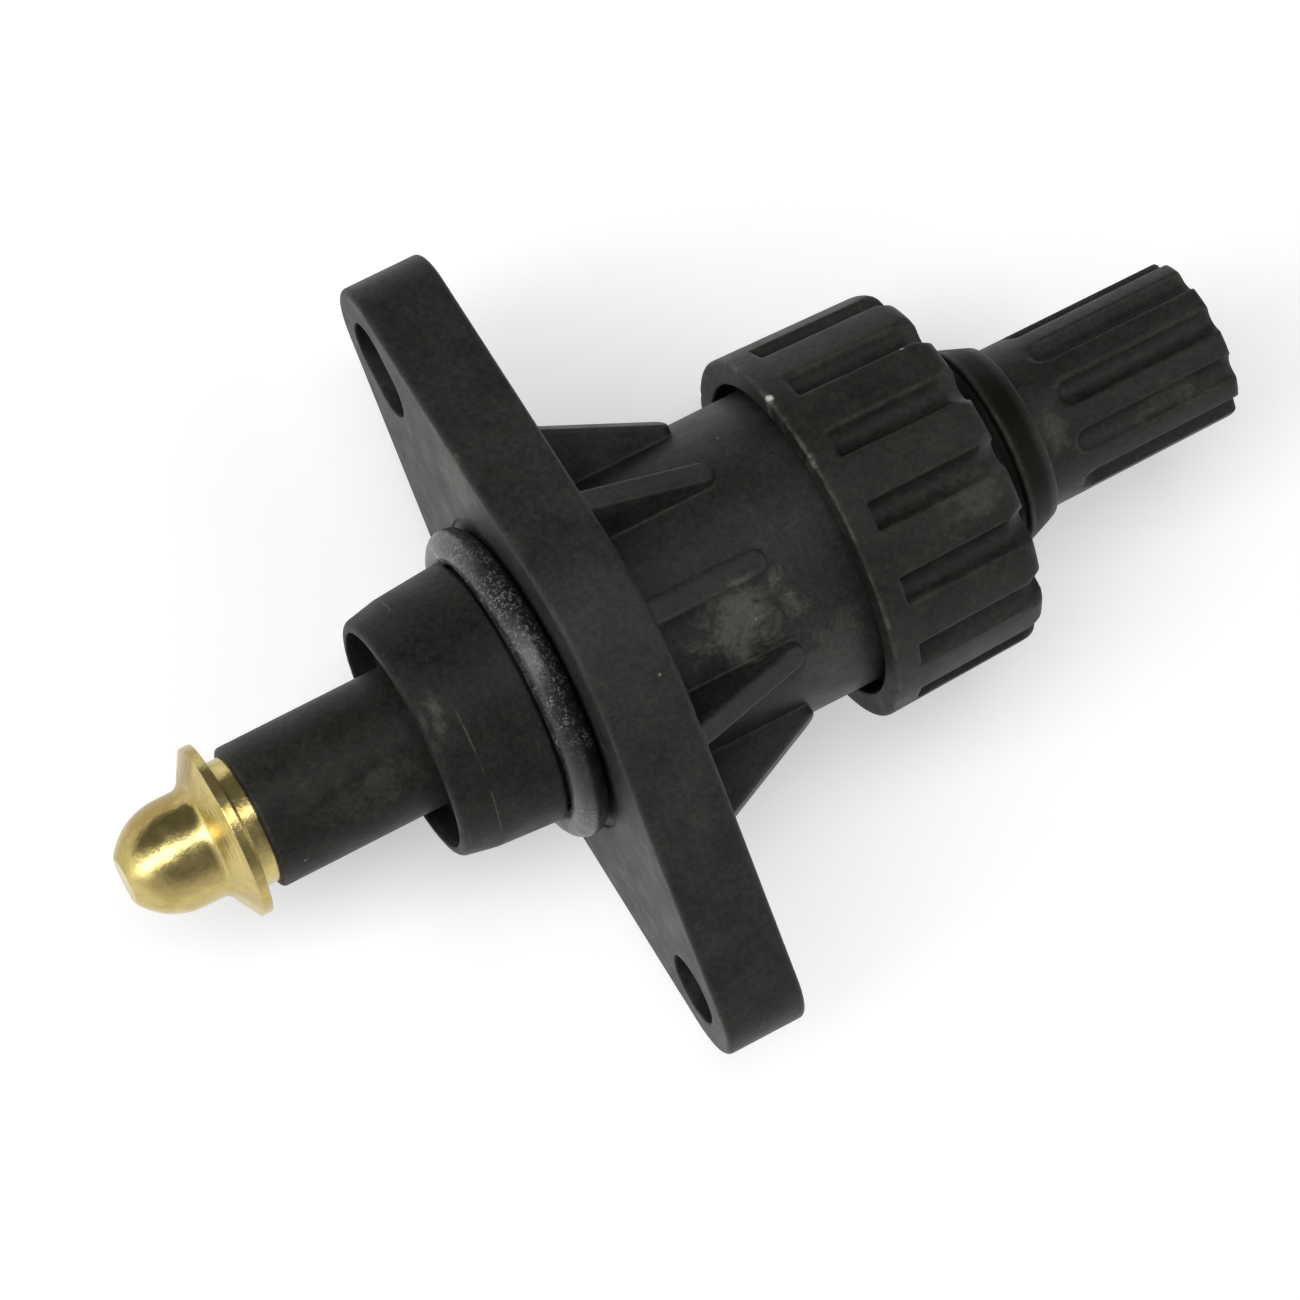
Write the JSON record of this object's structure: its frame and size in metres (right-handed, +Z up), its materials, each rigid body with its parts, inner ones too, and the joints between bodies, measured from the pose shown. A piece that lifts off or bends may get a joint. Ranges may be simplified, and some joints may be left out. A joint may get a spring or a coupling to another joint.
{
  "type": "idle control valve",
  "caption": "Hand-set idle air valve: flanged nylon body with a ribbed barrel and sealed nose, gland nut, and a threaded fluted spindle that moves a brass pintle.",
  "frame": {"origin": "on the valve's axis, in the plane of the flange's mounting face", "axes": "+X along the axis from the nose to the knob, +Y along the flange towards its slotted end, +Z up out of the flange's narrow side, the side that faces the picture's viewer"},
  "size_m": [0.089, 0.0618, 0.0322],
  "materials": {
    "body_nylon": "moulded glass-filled nylon, matte, lightly scuffed",
    "nut_nylon": "moulded glass-filled nylon, matte, chipped along the front edge",
    "gland_nylon": "plain moulded nylon",
    "spindle_nylon": "moulded glass-filled nylon, matte",
    "seal_rubber": "satin rubber, dusty",
    "turned_brass": "turned and polished"
  },
  "bodies": {
    "housing": {"valve_body": "body_nylon", "body_seal_ring": "seal_rubber"},
    "stem_seal": {"stem_seal_ring": "seal_rubber"},
    "spindle": {"adjuster_spindle": "spindle_nylon", "pintle_tip": "turned_brass"},
    "gland": {"gland_ring": "gland_nylon"},
    "nut": {"gland_nut": "nut_nylon"}
  },
  "joints": [
    {"name": "spindle_travel", "type": "slide", "parent": "housing", "child": "stem_seal", "axis": [1, 0, 0], "range_m": [-0.00301, 0.00901]},
    {"name": "spindle_turn", "type": "hinge", "parent": "stem_seal", "child": "spindle", "pos_m": [0, 0, 0], "axis": [1, 0, 0], "range_deg": [-540, 1620]},
    {"name": "nut_travel", "type": "slide", "parent": "housing", "child": "gland", "axis": [1, 0, 0], "range_m": [-0.00001, 0.00151]},
    {"name": "nut_turn", "type": "hinge", "parent": "gland", "child": "nut", "pos_m": [0.028, 0, 0], "axis": [1, 0, 0], "range_deg": [0, 360]}
  ],
  "couplings": [
    {"joint": "spindle_travel", "follows": "spindle_turn", "m_per_rad": 0.00031831},
    {"joint": "nut_travel", "follows": "nut_turn", "m_per_rad": 0.00023873}
  ]
}
